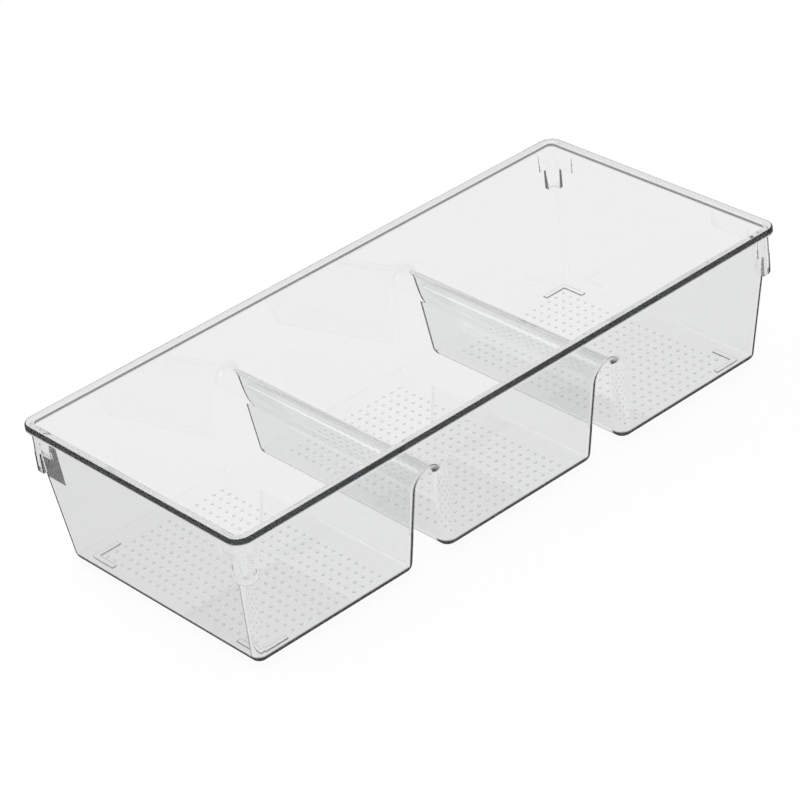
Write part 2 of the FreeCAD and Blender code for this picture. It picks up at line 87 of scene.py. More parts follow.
class Skin:
    """Faces of one quarter of the tray, with the true surface direction at every corner."""

    def __init__(self):
        self.faces = []

    def face(self, points, normals):
        self.faces.append((points, normals))

    def grid(self, rows, normals):
        """Quads between rows of points; every row has the same number of points."""
        for i in range(len(rows) - 1):
            for j in range(len(rows[i]) - 1):
                ring = [(i, j), (i + 1, j), (i + 1, j + 1), (i, j + 1)]
                a, b, c, d = [rows[row][column] for row, column in ring]
                if (a - b).length < NO_LENGTH and (c - d).length < NO_LENGTH:
                    continue
                self.face([a, b, c, d], [normals[row][column] for row, column in ring])

    def flat(self, loops, normal):
        """A flat face with any outline; loops after the first are holes."""
        joined = [point for loop in loops for point in loop]
        for triangle in geometry.tessellate_polygon(loops):
            self.face([joined[i] for i in triangle], [normal] * 3)

    def sweep(self, path, profile):
        """Carries a profile of (reach, height, outward and upward part of the normal) along a path."""
        rows, normals = [], []
        for middle, out in path:
            rows.append([middle + out * reach + UP * height for reach, height, _, _ in profile])
            normals.append([out * outward + UP * upward for _, _, outward, upward in profile])
        self.grid(rows, normals)
        return rows

    def add(self, other, turned=False):
        """Takes over another skin's faces, turned inside out if asked."""
        for points, normals in other.faces:
            self.face(points, [-n for n in normals] if turned else normals)


class BinSkin(Skin):
    """Three bins with leaning walls, rounded corners and round-topped gaps between them.

    inset moves the walls in, and floor is the height of the flat bottom. The walls end where the
    lug's lower and upper part take over, at the places in low_lug and high_lug and above the heights
    corner_top and step. lug_edge is the line where the lug's bottom face starts.
    """

    def __init__(self, inset, floor, floor_round, low_lug, high_lug, corner_top, step, foot=None):
        super().__init__()
        self.inset, self.floor, self.floor_round = inset, floor, floor_round
        self.corner, self.mouth_round = CORNER - inset, MOUTH_ROUND - inset
        self.gap_radius = CROWN_RADIUS + inset
        self.low_lug, self.high_lug, self.corner_top, self.step = low_lug, high_lug, corner_top, step
        self.end_turn = turn_over(END_WALL, LONG_WALL, CORNER_STEPS)
        self.legs = {side: self.leg(side) for side in (1, -1)}
        self.outer_bin, self.middle_bin = self.stations()
        self.add_floors(foot)
        self.foot_of_corner = [self.wall_foot(entry) for entry in self.outer_bin[1:CORNER_STEPS + 2]]
        self.head_of_corner = [self.corner_point(d) for d in self.end_turn]
        self.grid([self.foot_of_corner, self.head_of_corner], [self.end_turn, self.end_turn])
        self.add_gap()
        self.add_walls()
        self.lug_edge = [wall_point(0, low_lug[0], corner_top, inset)]
        self.lug_edge += self.head_of_corner[::-1]
        self.lug_edge += [wall_point(1, low_lug[1], corner_top, inset)]

    def corner_axis(self, z):
        """Middle of the upright corner's rounding at a height."""
        end, side = wall_at(z, self.inset)
        return Vector((end - self.corner / END_WALL.x, side - self.corner / LONG_WALL.y, z))

    def corner_point(self, direction):
        """Where the upright corner ends, on the side that faces a direction."""
        return self.corner_axis(self.corner_top - self.corner * direction.z) + direction * self.corner

    def mouth_axis(self, side, z):
        """Middle of the rounding between the long wall and a leg of the gap, at a height."""
        half = (self.gap_radius + (CROWN_CENTRE - z) * math.sin(GAP_DRAFT)) / math.cos(GAP_DRAFT)
        x = GAP_MIDDLE + side * (half + self.mouth_round / math.cos(GAP_DRAFT))
        return Vector((x, wall_at(z, self.inset)[1] - self.mouth_round / LONG_WALL.y, z))

    def station(self, axis, radius, direction):
        """Middle of the floor's rounding under an upright rounding, and the direction it faces."""
        past = radius - self.floor_round
        return axis(self.floor + self.floor_round - past * direction.z) + direction * past, direction

    def leg(self, side):
        """A leg of the gap: the direction it faces, the turn into it, and its stations."""
        faced = Vector((-side * math.cos(GAP_DRAFT), 0, -math.sin(GAP_DRAFT)))
        turn = turn_over(LONG_WALL, faced, MOUTH_STEPS)
        stations = [self.station(lambda z: self.mouth_axis(side, z), self.mouth_round, d) for d in turn]
        middle = stations[-1][0].copy()
        middle.y = 0
        return faced, turn, stations + [(middle, faced)]

    def stations(self):
        """Stations of the floor's rounding, round the outer bin and round the middle bin."""
        height = self.floor + self.floor_round
        end = wall_at(height, self.inset)[0] - self.floor_round / END_WALL.x
        outer = [(Vector((end, 0, height)), END_WALL)]
        outer += [self.station(self.corner_axis, self.corner, d) for d in self.end_turn]
        near_leg = self.legs[-1][2]
        middle = [(Vector((0, near_leg[0][0].y, height)), LONG_WALL)] + near_leg
        return outer + self.legs[1][2], middle

    def wall_foot(self, station):
        """Where the wall stands on the floor's rounding."""
        return station[0] + station[1] * self.floor_round

    def add_floors(self, foot):
        """Rounding under the walls, and the flat bottoms."""
        for stations in (self.outer_bin, self.middle_bin):
            turns = [turn_over(direction, DOWN, FLOOR_STEPS) for _, direction in stations]
            rows = [[centre + d * self.floor_round for d in turn]
                    for (centre, _), turn in zip(stations, turns)]
            self.grid(rows, turns)
            outline = [row[-1] for row in rows]
            if stations is self.middle_bin:
                outline = [Vector((0, 0, self.floor))] + outline
            holes = [foot] if foot and stations is self.outer_bin else []
            self.flat([outline] + holes, DOWN)

    def add_gap(self):
        """The gap's arch and legs, and the rounding where they meet the long wall."""
        self.arch_rows, arch_normals = [], []
        for i in range(ARCH_STEPS + 1):
            angle = GAP_DRAFT + (math.pi - 2 * GAP_DRAFT) * i / ARCH_STEPS
            out = Vector((math.cos(angle), 0, math.sin(angle)))
            centre = Vector((GAP_MIDDLE, 0, CROWN_CENTRE)) + out * (self.gap_radius + self.mouth_round)
            centre.y = wall_at(centre.z, self.inset)[1] - self.mouth_round / LONG_WALL.y
            turn = turn_over(LONG_WALL, -out, MOUTH_STEPS)
            row = [centre + d * self.mouth_round for d in turn]
            through = row[-1].copy()
            through.y = 0
            self.arch_rows.append(row + [through])
            arch_normals.append(turn + [-out])
        self.grid(self.arch_rows, arch_normals)
        for side, head in ((1, self.arch_rows[0]), (-1, self.arch_rows[-1])):
            faced, turn, stations = self.legs[side]
            self.grid([[self.wall_foot(entry) for entry in stations], head], [turn + [faced]] * 2)

    def stepped_edge(self, axis):
        """Upper edge of a flat wall: up past the two parts of the lug, and along under the rim."""
        low, high = self.low_lug[axis], self.high_lug[axis]
        corners = ((low, self.corner_top), (low, self.step), (high, self.step))
        corners += ((high, RIM_UNDER), (0, RIM_UNDER))
        return [wall_point(axis, along, z, self.inset) for along, z in corners]

    def add_walls(self):
        """Flat parts of the walls; the long wall has the mouth of the gap cut out."""
        outline = [self.wall_foot(self.middle_bin[0]), self.wall_foot(self.legs[-1][2][0])]
        outline += [row[0] for row in reversed(self.arch_rows)]
        outline += [self.wall_foot(self.legs[1][2][0]), self.foot_of_corner[-1], self.head_of_corner[-1]]
        self.flat([outline + self.stepped_edge(0)], LONG_WALL)
        outline = [self.wall_foot(self.outer_bin[0]), self.foot_of_corner[0], self.head_of_corner[0]]
        self.flat([outline + self.stepped_edge(1)], END_WALL)


def swept_path(starts, centre, steps=16):
    """Places round a corner of the tray: a middle for the rounding, and the direction outwards.

    starts holds places before the corner, as x along the long wall and y along the end wall.
    """
    path = [(Vector((x, centre[1], 0)), Vector((0, 1, 0))) for x, _ in starts]
    for i in range(steps + 1):
        angle = math.pi / 2 * (1 - i / steps)
        path.append((Vector((centre[0], centre[1], 0)), Vector((math.cos(angle), math.sin(angle), 0))))
    return path + [(Vector((centre[0], y, 0)), Vector((1, 0, 0))) for _, y in reversed(starts)]


def rounded(reach, height, radius, start, end, steps=6):
    """Profile points on a rounding; start and end are angles in degrees from outwards, up."""
    points = []
    for i in range(steps + 1):
        angle = math.radians(start + (end - start) * i / steps)
        c, s = math.cos(angle), math.sin(angle)
        points.append((reach + radius * c, height + radius * s, c, s))
    return points


def straight(start, end, normal):
    """Profile points at the ends of a flat face."""
    return [start + normal, end + normal]


moulding = Skin()

# Feet: L-shaped bars under the floor, with their lower edges eased
FOOT_LONG, FOOT_WIDE, FOOT_ARM, FOOT_BAR = 147.5, 57.0, 14.5, 2.5
FOOT_CORNER, FOOT_EASE = 1.2, 0.3
FOOT_TURNS = (0, 0, 30, 60, 90)           # an upright side, then the easing's turn in degrees


def foot_ring(turn, height, steps=6):
    """Outline of a foot at a height, moved in as far as its easing has turned."""
    shrink = FOOT_EASE * (1 - math.cos(math.radians(turn)))
    far_x, far_y = FOOT_LONG - shrink, FOOT_WIDE - shrink
    near_x, near_y = FOOT_LONG - FOOT_BAR + shrink, FOOT_WIDE - FOOT_BAR + shrink
    end_x, end_y = FOOT_LONG - FOOT_ARM + shrink, FOOT_WIDE - FOOT_ARM + shrink
    radius = FOOT_CORNER - shrink
    points = [(far_x, end_y)]
    for i in range(steps + 1):
        angle = math.pi / 2 * i / steps
        points.append((far_x - radius * (1 - math.cos(angle)), far_y - radius * (1 - math.sin(angle))))
    points += [(end_x, far_y), (end_x, near_y), (near_x, near_y), (near_x, end_y)]
    return [Vector((x, y, height)) for x, y in points]


foot_rings = [foot_ring(0, FLOOR_UNDER)]
foot_rings += [foot_ring(turn, FOOT_EASE * (1 - math.sin(math.radians(turn)))) for turn in FOOT_TURNS[1:]]
for upper, lower, start, end in zip(foot_rings, foot_rings[1:], FOOT_TURNS, FOOT_TURNS[1:]):
    tilt = math.radians((start + end) / 2)
    for a, b, c, d in zip(upper, upper[1:] + upper[:1], lower[1:] + lower[:1], lower):
        side = (b - a).cross(UP).normalized()
        moulding.face([a, b, c, d], [side * math.cos(tilt) + DOWN * math.sin(tilt)] * 4)
moulding.flat([foot_rings[-1]], DOWN)

# Outside and cavity. Each pair says where a part of the lug starts: x on the long wall, y on the end wall
LUG_REACHES = ((9.9, 14.7), (6.7, 6.7))   # upper and lower part, back from the corner along each wall
LUG_HIGH, LUG_LOW = [(HALF_LONG - x, HALF_WIDE - y) for x, y in LUG_REACHES]
LUG_UNDER, LUG_STEP, LUG_LEDGE = 48.2, 58.7, 50.7
POCKET_HIGH, POCKET_LOW = [(x + WALL, y + WALL) for x, y in (LUG_HIGH, LUG_LOW)]
POCKET_STEP = LUG_STEP + WALL

outside = BinSkin(0, FLOOR_UNDER, FLOOR_ROUND, LUG_LOW, LUG_HIGH, LUG_UNDER, LUG_STEP, foot_rings[0])
moulding.add(outside)
cavity = BinSkin(WALL, FLOOR_UNDER + FLOOR, CAVITY_ROUND, POCKET_LOW, POCKET_HIGH, LUG_LEDGE, POCKET_STEP)
moulding.add(cavity, turned=True)

# Lugs, outside: upright faces over the leaning corner, the lower part narrower and thicker
LUG_OVER, LUG_PROUD, LUG_EASE = 0.05, 0.25, 0.6
LUG_ENDS = ((0, 0, Vector((-1, 0, 0))), (1, -1, Vector((0, -1, 0))))   # wall, end of a row, side's direction

lug_radius = CORNER - 3 * LUG_OVER        # a little tighter than the tray's own corner
lug_centre = (HALF_LONG + LUG_OVER - lug_radius, HALF_WIDE + LUG_OVER - lug_radius)
proud = lug_radius + LUG_PROUD
low_rows = [moulding.sweep(swept_path([LUG_LOW], lug_centre), band) for band in (
    rounded(proud - LUG_EASE, LUG_UNDER + LUG_EASE, LUG_EASE, -90, 0),
    straight((proud, LUG_UNDER + LUG_EASE), (proud, LUG_STEP), (1, 0)),
    straight((proud, LUG_STEP), (lug_radius, LUG_STEP), (0, 1)))]
high_rows = moulding.sweep(swept_path([LUG_HIGH, LUG_LOW], lug_centre),
                           straight((lug_radius, LUG_STEP), (lug_radius, RIM_UNDER), (1, 0)))
moulding.flat([outside.lug_edge + [row[0] for row in reversed(low_rows[0])]], DOWN)
for axis, end, sideways in LUG_ENDS:
    side_face = [outside.lug_edge[end]]
    for rows in low_rows:
        side_face += [p for p in rows[end] if (p - side_face[-1]).length > NO_LENGTH]
    at_low = wall_point(axis, LUG_LOW[axis], LUG_STEP)
    at_high = wall_point(axis, LUG_HIGH[axis], LUG_STEP)
    at_rim = wall_point(axis, LUG_HIGH[axis], RIM_UNDER)
    moulding.flat([side_face], sideways)
    moulding.flat([[side_face[0], side_face[-1], at_low]], sideways)
    moulding.flat([[at_high, high_rows[end][0], side_face[-1], at_low]], DOWN)
    moulding.flat([[at_high, high_rows[end][0], high_rows[end][1], at_rim]], sideways)

# Rim: one profile carried round the top
RIM_OVER, RIM_EASE, RIM_UNDER_EASE = 2.4, 1.2, 0.35

rim_path = swept_path([(0, 0), POCKET_HIGH, POCKET_LOW], (HALF_LONG - CORNER, HALF_WIDE - CORNER))
rim_out, rim_in = CORNER + RIM_OVER, CORNER - WALL
under_rows, *_ = [moulding.sweep(rim_path, band) for band in (
    rounded(rim_out - RIM_UNDER_EASE, RIM_UNDER + RIM_UNDER_EASE, RIM_UNDER_EASE, -90, 0, 4),
    straight((rim_out, RIM_UNDER + RIM_UNDER_EASE), (rim_out, RIM_TOP - RIM_EASE), (1, 0)),
    rounded(rim_out - RIM_EASE, RIM_TOP - RIM_EASE, RIM_EASE, 0, 90),
    straight((rim_out - RIM_EASE, RIM_TOP), (rim_in + RIM_EASE, RIM_TOP), (0, 1)),
    rounded(rim_in + RIM_EASE, RIM_TOP - RIM_EASE, RIM_EASE, 90, 180),
    straight((rim_in, RIM_TOP - RIM_EASE), (rim_in, RIM_UNDER), (-1, 0)))]
under = [wall_point(0, 0, RIM_UNDER), wall_point(0, LUG_HIGH[0], RIM_UNDER)]
under += [row[-1] for row in high_rows]
under += [wall_point(1, LUG_HIGH[1], RIM_UNDER), wall_point(1, 0, RIM_UNDER)]
under += [row[0] for row in reversed(under_rows)]
moulding.flat([under], DOWN)

# Lugs, inside: the pocket goes straight down from the rim in two steps
pocket_path = rim_path[1:-1]
upper_rows = moulding.sweep(pocket_path, straight((rim_in, RIM_UNDER), (rim_in, POCKET_STEP), (-1, 0)))
lower_rows = moulding.sweep(pocket_path[1:-1], straight((rim_in, POCKET_STEP), (rim_in, LUG_LEDGE), (-1, 0)))
moulding.flat([cavity.lug_edge + [row[-1] for row in reversed(lower_rows)]], UP)
for axis, end, sideways in LUG_ENDS:
    high, low = upper_rows[:2] if axis == 0 else upper_rows[:-3:-1]
    at_high = wall_point(axis, high[1][axis], POCKET_STEP, WALL)
    at_low = wall_point(axis, low[1][axis], POCKET_STEP, WALL)
    moulding.flat([[at_high, high[1], high[0]]], -sideways)
    moulding.flat([[at_high, high[1], low[1], at_low]], UP)
    moulding.flat([[at_low, low[1], lower_rows[end][1], cavity.lug_edge[end]]], -sideways)


def whole(quarter):
    """The quarter's faces and their mirror images, each turned to face along its own directions."""
    faces = []
    for flip in (Vector((1, 1, 1)), Vector((-1, 1, 1)), Vector((-1, -1, 1)), Vector((1, -1, 1))):
        for points, normals in quarter.faces:
            face = [(point * flip, normal * flip) for point, normal in zip(points, normals)]
            first, second, third, last = face[0][0], face[1][0], face[2][0], face[-1][0]
            faced = (second - first).cross(last - first)
            if len(face) == 4:
                faced += (last - third).cross(second - third)
            if faced.dot(sum((normal for _, normal in face), Vector())) < 0:
                face.reverse()
            faces.append(face)
    return faces


def in_scene(name, data):
    """An object at the origin for a mesh, a lamp or a camera."""
    made = bpy.data.objects.new(name, data)
    bpy.context.scene.collection.objects.link(made)
    return made


def closed_mesh(name, quarter):
    """The whole piece in metres, its corners joined and the true surface directions kept."""
    faces = whole(quarter)
    points = [point for face in faces for point, _ in face]
    tree = kdtree.KDTree(len(points))
    for i, point in enumerate(points):
        tree.insert(point, i)
    tree.balance()
    places, place_of = [], [None] * len(points)
    for i, point in enumerate(points):
        if place_of[i] is None:
            for _, j, _ in tree.find_range(point, JOIN_WITHIN):
                if place_of[j] is None:
                    place_of[j] = len(places)
            places.append(point * MM)
    polygons, directions, at = [], [], 0
    for face in faces:
        kept = {}
        for place, (_, normal) in zip(place_of[at:at + len(face)], face):
            kept.setdefault(place, normal)
        at += len(face)
        if len(kept) > 2:
            polygons.append(list(kept))
            directions += kept.values()
    mesh = bpy.data.meshes.new(name)
    mesh.from_pydata(places, [], polygons)
    mesh.update()
    for polygon in mesh.polygons:
        polygon.use_smooth = True
    mesh.normals_split_custom_set([tuple(direction.normalized()) for direction in directions])
    return in_scene(name, mesh)


tray = closed_mesh("clear_moulding", moulding)


class Shade:
    """The nodes of a material or of the world, and Python expressions for their value maths."""

    def __init__(self, block):
        block.use_nodes = True
        self.block = block
        self.tree = block.node_tree
        self.tree.nodes.clear()

    def node(self, kind, settings=None, inputs=None):
        made = self.tree.nodes.new(kind)
        for key, setting in (settings or {}).items():
            setattr(made, key, setting)
        for key, given in (inputs or {}).items():
            socket = made.inputs[key]
            if isinstance(given, Value):
                given = given.socket
            if isinstance(given, bpy.types.NodeSocket):
                self.tree.links.new(given, socket)
            else:
                socket.default_value = given
        return made

    def value(self, socket):
        return Value(self, socket)

    def split(self, vector):
        """The three numbers in a vector."""
        parts = self.node("ShaderNodeSeparateXYZ", {}, {0: vector})
        return [self.value(parts.outputs[axis]) for axis in "XYZ"]

    def ramp(self, given, low, high, start=0.0, end=1.0):
        """A smooth change from start to end while a number goes from low to high."""
        return self.value(self.node("ShaderNodeMapRange", {"interpolation_type": "SMOOTHSTEP"}, {
            "Value": given, "From Min": low, "From Max": high, "To Min": start, "To Max": end}).outputs[0])


class Value:
    """A number that varies over a surface; arithmetic on it adds Math nodes."""

    def __init__(self, shade, socket):
        self.shade = shade
        self.socket = socket

    def _math(self, operation, first, second):
        made = self.shade.node("ShaderNodeMath", {"operation": operation}, {0: first, 1: second})
        return Value(self.shade, made.outputs[0])

    def __add__(self, other):
        return self._math("ADD", self, other)

    __radd__ = __add__

    def __mul__(self, other):
        return self._math("MULTIPLY", self, other)

    __rmul__ = __mul__

    def __sub__(self, other):
        return self._math("SUBTRACT", self, other)

    def __rsub__(self, other):
        return self._math("SUBTRACT", other, self)

    def __neg__(self):
        return self._math("SUBTRACT", 0.0, self)

    def __abs__(self):
        return self._math("ABSOLUTE", self, 0.0)

    def above(self, other):
        return self._math("GREATER_THAN", self, other)

    def most(self, other):
        return self._math("MAXIMUM", self, other)

    def least(self, other):
        return self._math("MINIMUM", self, other)


# Clear polystyrene. Edges where the real plastic is thick or turns over show as dark lines. The plain
# pale room has nothing dark to refract there, so the lines are painted shade: a dark tint, laid on by
# place and slant. Heights and reaches on the tray are in metres.
REFRACTION, CLEARNESS, SHADOW = 1.59, 1.0, (0.93, 0.93, 0.93, 1.0)
# The first colour is the plastic's own pale tint; the second is the near-black of the painted shade lines.
CLEAR, PAINTED_SHADE = (0.958, 0.961, 0.963, 1.0), (0.006, 0.0065, 0.007, 1.0)
WAVE_SCALE, WAVE_DETAIL, WAVE_STRENGTH, WAVE_DEPTH = 38.0, 2.0, 0.02, 0.001
HAZE_SCALE, HAZE_DETAIL, HAZE_ROUGHNESS, LEAST_ROUGHNESS = 420.0, 3.0, 0.02, 0.002
END_FOOT, END_LEAN, SIDE_FOOT, SIDE_LEAN = 0.1540, 0.0888, 0.0635, 0.113   # of a line near each wall


class Surface:
    """Where a point of the tray lies, which way it faces, and how it meets the ray that finds it."""

    def __init__(self, shade):
        place = shade.node("ShaderNodeTexCoord")
        self.x, self.y, self.z = shade.split(place.outputs["Object"])
        self.turn_x, self.turn_y, self.turn_z = shade.split(place.outputs["Normal"])
        self.down = -self.turn_z
        self.upright = self.turn_x * self.turn_x + self.turn_y * self.turn_y
        self.outward = (self.x * self.turn_x + self.y * self.turn_y).above(0.0)
        self.past_end = abs(self.x) - self.z * END_LEAN - END_FOOT
        self.past_side = abs(self.y) - self.z * SIDE_LEAN - SIDE_FOOT
        self.from_outside = 1 - shade.value(shade.node("ShaderNodeNewGeometry").outputs["Backfacing"])
        self.grazing = shade.value(shade.node("ShaderNodeLayerWeight", {}, {"Blend": 0.5}).outputs["Facing"])


def rim_shade_lines(shade, at):
    """Painted shade: a dark band on the rim's outer side, and on the inner edge of its flat top."""
    side_height, lip_bottom, lip_top = (0.0694, 0.0703), (0.0702, 0.0708), (0.0721, 0.0716)
    side_upright, lip_upright, lip_share = (0.02, 0.25), (0.05, 0.4), 0.93
    side = shade.ramp(at.upright, *side_upright) * shade.ramp(at.z, *side_height) * at.outward
    lip = shade.ramp(at.upright, *lip_upright) * shade.ramp(at.z, *lip_bottom) * shade.ramp(at.z, *lip_top)
    return side.most(lip * (1 - at.outward) * lip_share)


def edge_shade_lines(shade, at, corner, lug):
    """Painted shade on outer edges seen at a slant, at the gap mouths, corners and lugs, and on the base's
    rounding.

    The lugs' part takes in the wall around them too. The slants suit the photograph's camera.
    """
    mouth_height, mouth_bend, mouth_slant = (0.0535, 0.046), (0.03, 0.12), (0.46, 0.57)
    corner_bend, corner_slant = (0.0, 0.05), (0.50, 0.56)
    lug_slant, lug_share = (0.588, 0.604), 0.94
    base_height, base_bottom, base_turn = (0.0058, 0.0046), 0.0011, (0.0, -0.08)
    outer_reach = (-0.0075, -0.006)
    bend = abs(at.turn_x).least(abs(at.turn_y))
    facing_down = at.down.above(0.0)
    mouth = shade.ramp(bend, *mouth_bend) * shade.ramp(at.z, *mouth_height) * facing_down
    turned = shade.ramp(bend, *corner_bend) * facing_down * corner
    base = shade.ramp(at.z, *base_height) * at.z.above(base_bottom) * shade.ramp(at.turn_z, *base_turn)
    lines = (shade.ramp(at.grazing, *mouth_slant) * mouth).most(
        shade.ramp(at.grazing, *corner_slant) * turned).most(
        shade.ramp(at.grazing, *lug_slant) * lug * lug_share).most(base)
    outer = shade.ramp(at.past_side.most(at.past_end), *outer_reach)
    return lines * outer * (1 - at.z.above(RIM_UNDER * MM))


def lug_shade_lines(shade, at, lug):
    """Painted shade on the sides and undersides of the lugs, where they stand out from the walls."""
    proud_by, side_turn, under_turn, top, share = 0.0005, (0.9, 0.97), (0.6, 0.8), 0.0688, 0.9
    proud_end, proud_side = at.past_end.above(proud_by), at.past_side.above(proud_by)
    side = (shade.ramp(abs(at.turn_x), *side_turn) * proud_side).most(
        shade.ramp(abs(at.turn_y), *side_turn) * proud_end)
    under = shade.ramp(at.down, *under_turn) * proud_end.most(proud_side)
    return side.most(under) * lug * (1 - at.z.above(top)) * share


def foot_shade_lines(shade, at):
    """Painted shade on upright sides under the floor's underside: the feet and the grip dots' sides."""
    top, upright, share = 0.00098, (0.2, 0.6), 0.85
    return shade.ramp(at.upright, *upright) * (1 - at.z.above(top)) * share


def clear_plastic(name):
    """Glassy clear polystyrene with a moulding's faint flow waves and haze, and painted shade at its edges.
    """
    corner_reach, lug_bottom = (0.145, 0.052), 0.046
    shade = Shade(bpy.data.materials.new(name))
    place = shade.node("ShaderNodeTexCoord").outputs["Object"]
    waves = shade.node("ShaderNodeTexNoise", {"noise_dimensions": "3D"}, {
        "Vector": place, "Scale": WAVE_SCALE, "Detail": WAVE_DETAIL})
    bump = shade.node("ShaderNodeBump", {}, {
        "Strength": WAVE_STRENGTH, "Distance": WAVE_DEPTH, "Height": waves.outputs["Fac"]})
    haze = shade.value(shade.node("ShaderNodeTexNoise", {}, {
        "Vector": place, "Scale": HAZE_SCALE, "Detail": HAZE_DETAIL}).outputs["Fac"])
    at = Surface(shade)
    corner = (abs(at.x) - corner_reach[0]).least(abs(at.y) - corner_reach[1]).above(0.0)
    lug = corner * at.z.above(lug_bottom)
    shade_seen_outside = rim_shade_lines(shade, at).most(edge_shade_lines(shade, at, corner, lug)) * at.from_outside
    painted_shade = shade_seen_outside.most(foot_shade_lines(shade, at)).most(lug_shade_lines(shade, at, lug))
    # Painted shade: the dark edge-line masks mix the clear colour towards near-black.
    shade_tint = shade.node("ShaderNodeMix", {"data_type": "RGBA"}, {0: painted_shade, 6: CLEAR, 7: PAINTED_SHADE})
    surface = shade.node("ShaderNodeBsdfPrincipled", {}, {
        "Base Color": shade_tint.outputs[2], "IOR": REFRACTION, "Transmission Weight": CLEARNESS,
        "Roughness": haze * HAZE_ROUGHNESS + LEAST_ROUGHNESS, "Normal": bump.outputs["Normal"]})
    through = shade.node("ShaderNodeBsdfTransparent", {}, {"Color": SHADOW})
    path = shade.node("ShaderNodeLightPath")
    mixed = shade.node("ShaderNodeMixShader", {}, {
        0: path.outputs["Is Shadow Ray"], 1: surface.outputs[0], 2: through.outputs[0]})
    shade.node("ShaderNodeOutputMaterial", {}, {"Surface": mixed.outputs[0]})
    return shade.block


polystyrene = clear_plastic("clear_polystyrene")
tray.data.materials.append(polystyrene)
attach(tray, "root")
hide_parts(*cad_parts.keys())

# Grip dots: low round bumps in even rows on the underside of the three bins, part of the same
# moulding. Each differs a little, as spots cut one by one in a mould do.

DOT_COLUMNS, DOT_ROWS, DOT_PITCH, BINS = 14, 22, 5.0, 3
DOT_RADIUS, DOT_HEIGHT, DOT_SUNK = 0.85, 0.36, 0.01
DOT_SHIFT_X, DOT_SHIFT_Y = -1.4, -1.8     # how far the pattern sits off the middle of each bin
FOOT_FREE_X, FOOT_FREE_Y = 131.8, 53.2    # no dots past both of these, where the feet are
DOT_LEAST, DOT_MOST, DOT_SEED = (0.86, 0.86, 0.8), (1.1, 1.1, 1.1), 7
DOT_SEGMENTS, DOT_RINGS = 12, 6


class NodeTree:
    """A Geometry Nodes tree with named inputs, and one call for its nodes."""

    def __init__(self, name):
        self.tree = bpy.data.node_groups.new(name, "GeometryNodeTree")
        self.tree.interface.new_socket("Geometry", in_out="OUTPUT", socket_type="NodeSocketGeometry")
        self.settings = {}
        self.given = self.tree.nodes.new("NodeGroupInput")

    def named_input(self, name, setting):
        """A named input of the tree, whole or not as its setting is."""
        kind = "NodeSocketInt" if isinstance(setting, int) else "NodeSocketFloat"
        socket = self.tree.interface.new_socket(name, in_out="INPUT", socket_type=kind)
        self.settings[socket.identifier] = setting
        return self.given.outputs[name]

    def node(self, kind, settings=None, inputs=None):
        made = self.tree.nodes.new(kind)
        for key, setting in (settings or {}).items():
            setattr(made, key, setting)
        for key, given in (inputs or {}).items():
            if isinstance(given, bpy.types.NodeSocket):
                self.tree.links.new(given, made.inputs[key])
            else:
                made.inputs[key].default_value = given
        return made

    def maths(self, operation, first, second):
        return self.node("ShaderNodeMath", {"operation": operation}, {0: first, 1: second}).outputs[0]

    def vector(self, x, y, z):
        return self.node("ShaderNodeCombineXYZ", {}, {"X": x, "Y": y, "Z": z}).outputs[0]

    def position(self):
        """X, Y and Z of each point, as the outputs of one node."""
        points = self.node("GeometryNodeInputPosition")
        return self.node("ShaderNodeSeparateXYZ", {}, {0: points.outputs[0]}).outputs

    def as_mesh(self, name):
        """A plain mesh of what the tree makes with its settings."""
        carrier = in_scene(name, bpy.data.meshes.new(name))
        modifier = carrier.modifiers.new(name, "NODES")
        modifier.node_group = self.tree
        for identifier, setting in self.settings.items():
            modifier[identifier] = setting
        graph = bpy.context.evaluated_depsgraph_get()
        made = bpy.data.meshes.new_from_object(carrier.evaluated_get(graph))
        carrier.modifiers.remove(modifier)
        bpy.data.objects.remove(carrier)
        return made


dots = NodeTree("grip_dots")
columns = dots.named_input("Columns", DOT_COLUMNS)
rows = dots.named_input("Rows", DOT_ROWS)
pitch = dots.named_input("Pitch", DOT_PITCH * MM)
bin_pitch = dots.named_input("Bin pitch", 2 * GAP_MIDDLE * MM)
radius = dots.named_input("Radius", DOT_RADIUS * MM)
height = dots.named_input("Height", DOT_HEIGHT * MM)
underside = dots.named_input("Underside", (FLOOR_UNDER - DOT_SUNK) * MM)
shift_x = dots.named_input("Shift across", DOT_SHIFT_X * MM)
shift_y = dots.named_input("Shift along", DOT_SHIFT_Y * MM)
foot_x = dots.named_input("Feet from across", FOOT_FREE_X * MM)
foot_y = dots.named_input("Feet from along", FOOT_FREE_Y * MM)
seed = dots.named_input("Seed", DOT_SEED)

grid = dots.node("GeometryNodeMeshGrid", {}, {
    "Size X": dots.maths("MULTIPLY", dots.maths("SUBTRACT", columns, 1.0), pitch),
    "Size Y": dots.maths("MULTIPLY", dots.maths("SUBTRACT", rows, 1.0), pitch),
    "Vertices X": columns, "Vertices Y": rows})
bins = dots.node("GeometryNodeMeshLine", {}, {
    "Count": BINS, "Start Location": dots.vector(dots.maths("MULTIPLY", bin_pitch, -1.0), 0.0, 0.0),
    "Offset": dots.vector(bin_pitch, 0.0, 0.0)})
grids = dots.node("GeometryNodeInstanceOnPoints", {}, {
    "Points": bins.outputs[0], "Instance": grid.outputs[0]})
spread = dots.node("GeometryNodeRealizeInstances", {}, {0: grids.outputs[0]})
moved = dots.node("GeometryNodeSetPosition", {}, {
    0: spread.outputs[0], "Offset": dots.vector(shift_x, shift_y, underside)})
where = dots.position()
beside_foot = dots.maths("GREATER_THAN", dots.maths("ABSOLUTE", where["X"], 0.0), foot_x)
before_foot = dots.maths("GREATER_THAN", dots.maths("ABSOLUTE", where["Y"], 0.0), foot_y)
free = dots.node("GeometryNodeDeleteGeometry", {"domain": "POINT"}, {
    0: moved.outputs[0], "Selection": dots.maths("MULTIPLY", beside_foot, before_foot)})
ball = dots.node("GeometryNodeMeshUVSphere", {}, {
    "Segments": DOT_SEGMENTS, "Rings": DOT_RINGS, "Radius": 1.0})
spot = dots.position()
